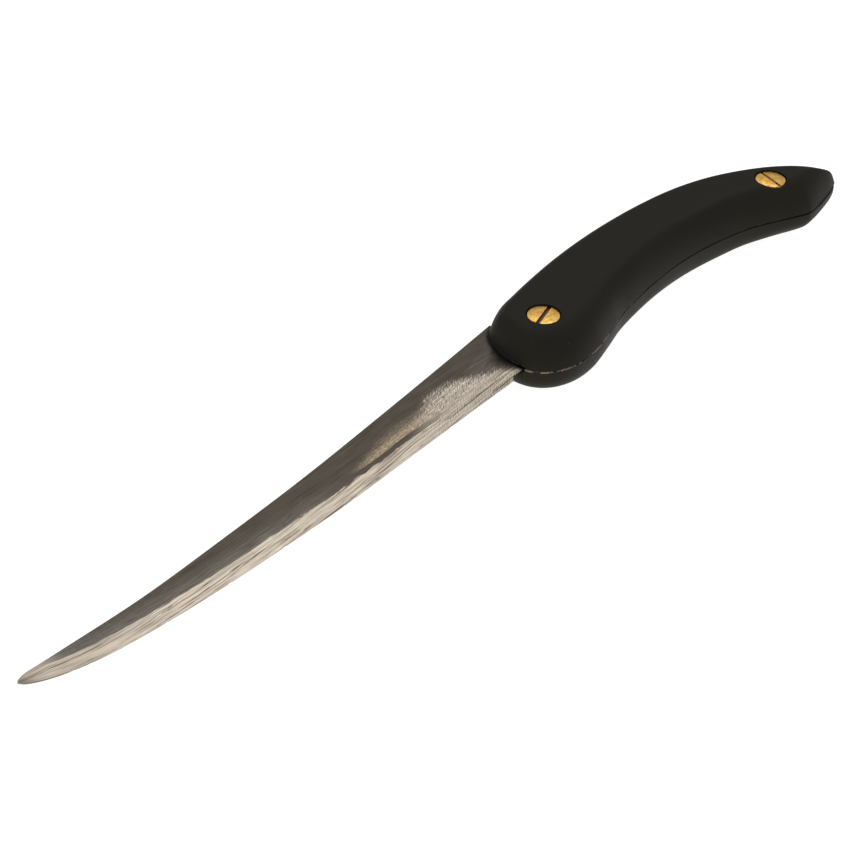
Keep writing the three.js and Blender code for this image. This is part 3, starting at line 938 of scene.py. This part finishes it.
def slotTool(which, faceHeight):
    place = screwPlaces[which]
    angle, width, deep = screwShape["slots"][which]
    long, wide = screwShape["headRadius"] + 1, width / 2
    turn = Matrix.Rotation(math.radians(angle), 3, "Z")
    corners = [(-long, -wide), (long, -wide), (long, wide), (-long, wide)]
    rings = []
    for level in (faceHeight - deep, faceHeight + deep):
        centre = Vector((*place, level))
        rings.append(np.array([turn @ Vector((x, y, 0)) + centre for x, y in corners]))
    return toolFrom(*ringSkin(rings))


def threadedShank(bottom, top, place):
    # a shank whose surface rises and falls along a helix, closed at both ends
    segments, rowsPerTurn = 40, 8
    rows = int((top - bottom) / screwShape["threadPitch"] * rowsPerTurn)
    rings = []
    for row in range(rows + 1):
        height = bottom + (top - bottom) * row / rows
        ring = []
        for i in range(segments):
            angle = i * 2 * math.pi / segments
            phase = ((height - bottom) / screwShape["threadPitch"] - i / segments) % 1
            crest = 1 - abs(2 * phase - 1)
            radius = screwShape["shankRadius"] - screwShape["threadDepth"] * (1 - crest)
            x, y = place[0] + radius * math.cos(angle), place[1] + radius * math.sin(angle)
            ring.append((x, y, height))
        rings.append(np.array(ring))
    return ringSkin(rings)


def makeScrew(which, material):
    place = screwPlaces[which]
    top = handle["thickness"] - screwShape["recess"]
    under = top - screwShape["headThickness"]
    radius, edgeRound = screwShape["headRadius"], screwShape["edgeRound"]
    corner = edgeRound * screwShape["cornerShare"]
    profile = [(0, under), (radius, under), (radius, top - edgeRound)]
    profile += [(radius - corner, top - corner), (radius - edgeRound, top), (0, top)]
    body = f"{which}_screw"
    turned = lathe(profile, screwShape["segments"], place)
    head = newPiece(f"{which}ScrewHead", *turned, material, body, "brass", [body])
    cutHoles(head, [slotTool(which, top)])
    bottom = under - screwShape["shankLength"]
    shank = threadedShank(bottom, under + screwShape["shankOverlap"], place)
    newPiece(f"{which}ScrewThread", *shank, material, body, "brass")


def makeBarrelNut(which, material):
    place = screwPlaces[which]
    bottom = screwShape["recess"]
    headTop = bottom + screwShape["headThickness"]
    radius, edgeRound = screwShape["headRadius"], screwShape["edgeRound"]
    nutRadius, nutTop = screwShape["nutRadius"], screwShape["nutTop"]
    boreRadius, boreFloor = screwShape["nutBoreRadius"], screwShape["nutBoreFloor"]
    profile = [(0, bottom), (radius - edgeRound, bottom), (radius, bottom + edgeRound)]
    profile += [(radius, headTop), (nutRadius, headTop), (nutRadius, nutTop)]
    profile += [(boreRadius, nutTop), (boreRadius, boreFloor), (0, boreFloor)]
    node = f"{which}_barrel_nut"
    turned = lathe(profile, screwShape["segments"], place)
    nut = newPiece(f"{which}BarrelNut", *turned, material, "knife", "brass", [node])
    cutHoles(nut, [slotTool(which, bottom)])


studio = {
    "floorColour": (0.3, 0.3, 0.3),
    "floorGlow": 0.95,
    "roomColour": (0.97, 0.98, 1.0),
    "roomStrength": 0.5,
    "floorSize": 12.0,
    # azimuth and elevation the lamp stands at, distance and size in metres, power in watts
    "lamps": {
        "bigSoftbox": (312, 62, 1.2, 1.0, 2.5),
        "sideFill": (60, 40, 1.3, 0.8, 1),
    },
    "cameraAzimuth": 131.98,
    "cameraElevation": 36.3,
    "cameraRoll": 1.8,
    "cameraDistance": 0.4801,
    "cameraTarget": (87.14, 11.87, 7.5),
    "lens": 93.18,
}


def directionOf(azimuth, elevation):
    a, e = math.radians(azimuth), math.radians(elevation)
    return Vector((math.sin(a) * math.cos(e), -math.cos(a) * math.cos(e), math.sin(e)))


def makeStudio():
    scene = bpy.context.scene
    scene.view_settings.view_transform = "Standard"
    target = Vector(studio["cameraTarget"]) * mm

    bpy.ops.mesh.primitive_plane_add(size=studio["floorSize"])
    floor = bpy.context.object
    floor.name = "paleFloor"
    material, add = newMaterial("paleFloor")
    shader = add("BsdfPrincipled", {"Base Color": (*studio["floorColour"], 1), "Roughness": 0.9})
    shader.inputs["Emission Color"].default_value = (1, 1, 1, 1)
    shader.inputs["Emission Strength"].default_value = studio["floorGlow"]
    finishMaterial(add, shader)
    floor.data.materials.append(material)

    world = bpy.data.worlds.new("room")
    scene.world = world
    world.use_nodes = True
    background = world.node_tree.nodes["Background"]
    background.inputs["Color"].default_value = (*studio["roomColour"], 1)
    background.inputs["Strength"].default_value = studio["roomStrength"]

    for name, (azimuth, elevation, distance, size, power) in studio["lamps"].items():
        data = bpy.data.lights.new(name, "AREA")
        data.shape = "DISK"
        data.size = size
        data.energy = power
        lamp = bpy.data.objects.new(name, data)
        toLamp = directionOf(azimuth, elevation)
        lamp.location = target + toLamp * distance
        lamp.rotation_euler = (-toLamp).to_track_quat("-Z", "Y").to_euler()
        bpy.context.collection.objects.link(lamp)

    camera = bpy.data.objects.new("camera", bpy.data.cameras.new("camera"))
    back = directionOf(studio["cameraAzimuth"], studio["cameraElevation"])
    camera.location = target + back * studio["cameraDistance"]
    level = (-back).to_track_quat("-Z", "Y").to_matrix()
    roll = Matrix.Rotation(math.radians(studio["cameraRoll"]), 3, "Z")
    camera.rotation_euler = (level @ roll).to_euler()
    camera.data.lens = studio["lens"]
    camera.data.clip_start = 0.01
    bpy.context.collection.objects.link(camera)
    scene.camera = camera


plastic = blackPlastic()
makeScale(upperScale, plastic)
makeScale(lowerScale, plastic)
print("scales made")

dried = driedBedding()
makeBedding(dried)
makeFillet("frontFilletAbove", 1, dried)
makeFillet("frontFilletBelow", -1, dried)
print("bedding made")

steel = groundSteel()
makeBlade(steel)
makeTang(steel)
print("blade made")

headFace = handle["thickness"] - screwShape["recess"]
darkDirt, paleDirt = brassFinish["darkSlotDirt"], brassFinish["paleSlotDirt"]
screwBrass = {
    "front": agedBrass("frontBrass", headFace, 1, darkDirt),
    "rear": agedBrass("rearBrass", headFace, 1, paleDirt),
}
nutBrass = agedBrass("nutBrass", screwShape["recess"], -1, darkDirt)
for which in screwPlaces:
    makeScrew(which, screwBrass[which])
    makeBarrelNut(which, nutBrass)
print("screws made")

makeStudio()
print("studio made")

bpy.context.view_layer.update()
